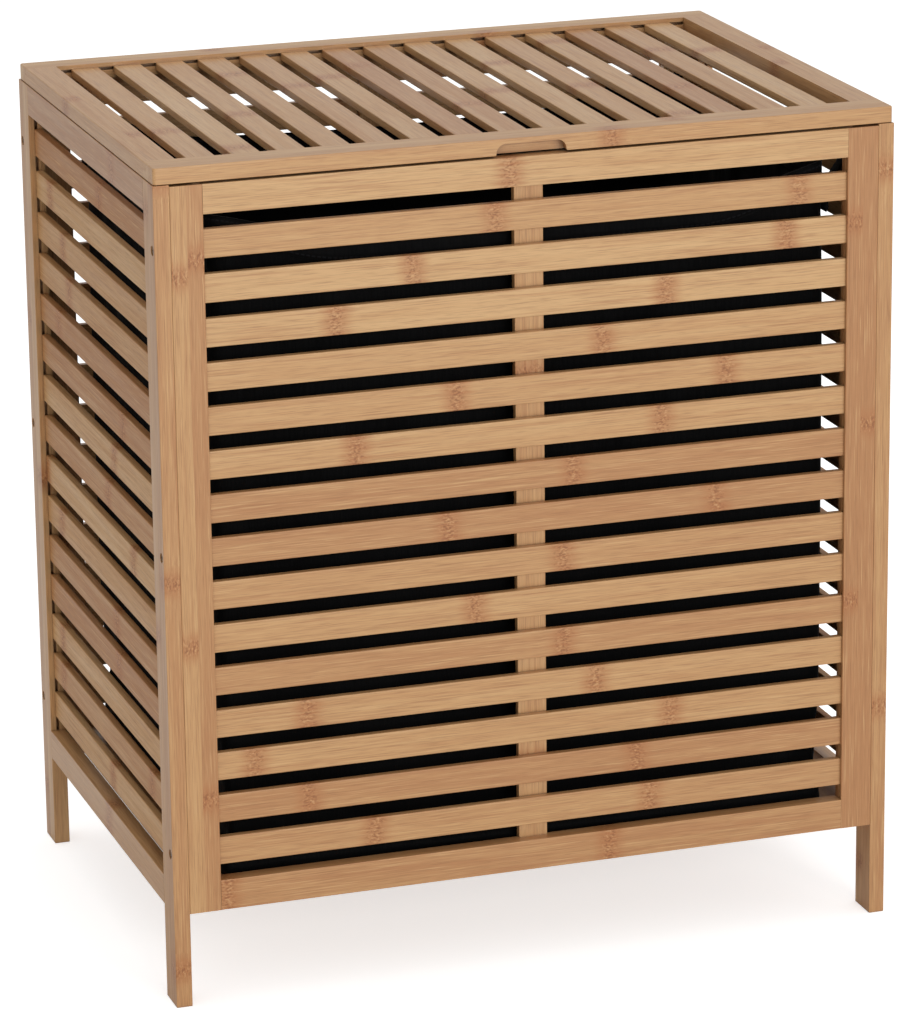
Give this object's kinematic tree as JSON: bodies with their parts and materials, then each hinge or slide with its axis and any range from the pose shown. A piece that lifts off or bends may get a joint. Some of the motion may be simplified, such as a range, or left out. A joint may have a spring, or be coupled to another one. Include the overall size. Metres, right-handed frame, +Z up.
{
  "type": "laundry hamper with lid",
  "caption": "Slatted bamboo laundry chest on short legs, with a hinged slatted lid that lifts by a finger pull and a hanging fabric liner bag inside.",
  "frame": {"origin": "on the floor, under the middle of the whole object's bounding box", "axes": "+X right, +Y towards the hinged back, +Z up"},
  "size_m": [0.56, 0.3946, 0.628],
  "materials": {
    "frame_bamboo": "satin lacquered bamboo",
    "slat_bamboo": "satin lacquered bamboo",
    "screw_steel": "zinc plated",
    "hinge_steel": "nickel plated, satin",
    "hook_steel": "zinc plated",
    "bag_fabric": "plain woven polyester",
    "bag_binding": "folded binding tape",
    "bag_webbing": "ribbed webbing"
  },
  "bodies": {
    "chest": {"back_bottom_rail": "frame_bamboo", "back_centre_strip": "frame_bamboo", "back_floor_ledger": "frame_bamboo", "back_left_leg": "frame_bamboo", "back_left_stile": "frame_bamboo", "back_right_leg": "frame_bamboo", "back_right_stile": "frame_bamboo", "back_slats": "slat_bamboo", "back_top_rail": "frame_bamboo", "bag_hem": "bag_binding", "bag_hooks": "hook_steel", "bag_loops": "bag_webbing", "floor_slats": "slat_bamboo", "front_bottom_rail": "frame_bamboo", "front_centre_strip": "frame_bamboo", "front_floor_ledger": "frame_bamboo", "front_left_leg": "frame_bamboo", "front_left_stile": "frame_bamboo", "front_right_leg": "frame_bamboo", "front_right_stile": "frame_bamboo", "front_slats": "slat_bamboo", "front_top_rail": "frame_bamboo", "hinge_fixed_screws": "hinge_steel", "left_bottom_rail": "frame_bamboo", "left_hinge_fixed_leaf": "hinge_steel", "left_hinge_pin": "hinge_steel", "left_slats": "slat_bamboo", "left_top_rail": "frame_bamboo", "liner_bag": "bag_fabric", "panel_screws": "screw_steel", "right_bottom_rail": "frame_bamboo", "right_hinge_fixed_leaf": "hinge_steel", "right_hinge_pin": "hinge_steel", "right_slats": "slat_bamboo", "right_top_rail": "frame_bamboo"},
    "lid": {"hinge_lid_screws": "hinge_steel", "left_hinge_lid_leaf": "hinge_steel", "lid_back_rail": "frame_bamboo", "lid_front_rail": "frame_bamboo", "lid_left_stile": "frame_bamboo", "lid_right_stile": "frame_bamboo", "lid_slat_01": "slat_bamboo", "lid_slat_02": "slat_bamboo", "lid_slat_03": "slat_bamboo", "lid_slat_04": "slat_bamboo", "lid_slat_05": "slat_bamboo", "lid_slat_06": "slat_bamboo", "lid_slat_07": "slat_bamboo", "lid_slat_08": "slat_bamboo", "lid_slat_09": "slat_bamboo", "lid_slat_10": "slat_bamboo", "lid_slat_11": "slat_bamboo", "lid_slat_12": "slat_bamboo", "lid_slat_13": "slat_bamboo", "lid_slat_14": "slat_bamboo", "lid_slat_15": "slat_bamboo", "right_hinge_lid_leaf": "hinge_steel"}
  },
  "joints": [
    {"name": "lid_hinge", "type": "hinge", "parent": "chest", "child": "lid", "pos_m": [0, 0.1951, 0.6152], "axis": [-1, 0, 0], "range_deg": [0, 105]}
  ]
}
